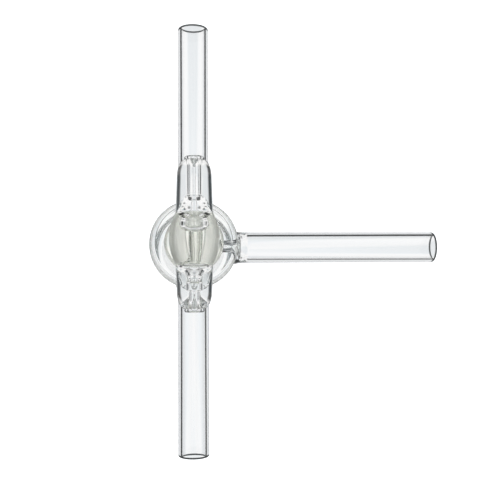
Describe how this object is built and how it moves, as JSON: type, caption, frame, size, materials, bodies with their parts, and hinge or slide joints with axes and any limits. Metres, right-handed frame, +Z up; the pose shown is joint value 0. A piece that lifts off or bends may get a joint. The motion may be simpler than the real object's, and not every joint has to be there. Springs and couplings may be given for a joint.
{
  "type": "glass stopcock",
  "caption": "Glass stopcock that joins tubes in a T: a ground tapered key with a cross handle turns in a barrel and sends the flow one way or the other.",
  "frame": {"origin": "centre of the barrel's small end, on the key's axis, level with the ring that the part stands on", "axes": "+Z up the key's axis from the small end to the handle, +Y along the longer tube of the straight run, +X along the side tube"},
  "size_m": [0.0753, 0.113, 0.0512],
  "materials": {
    "barrel_glass": "gloss",
    "key_glass": "gloss"
  },
  "bodies": {
    "barrel": {"barrel": "barrel_glass"},
    "key": {"key": "key_glass"}
  },
  "joints": [
    {"name": "key_turn", "type": "hinge", "parent": "barrel", "child": "key", "pos_m": [0, 0, 0.0175], "axis": [0, 0, 1], "continuous": true}
  ]
}
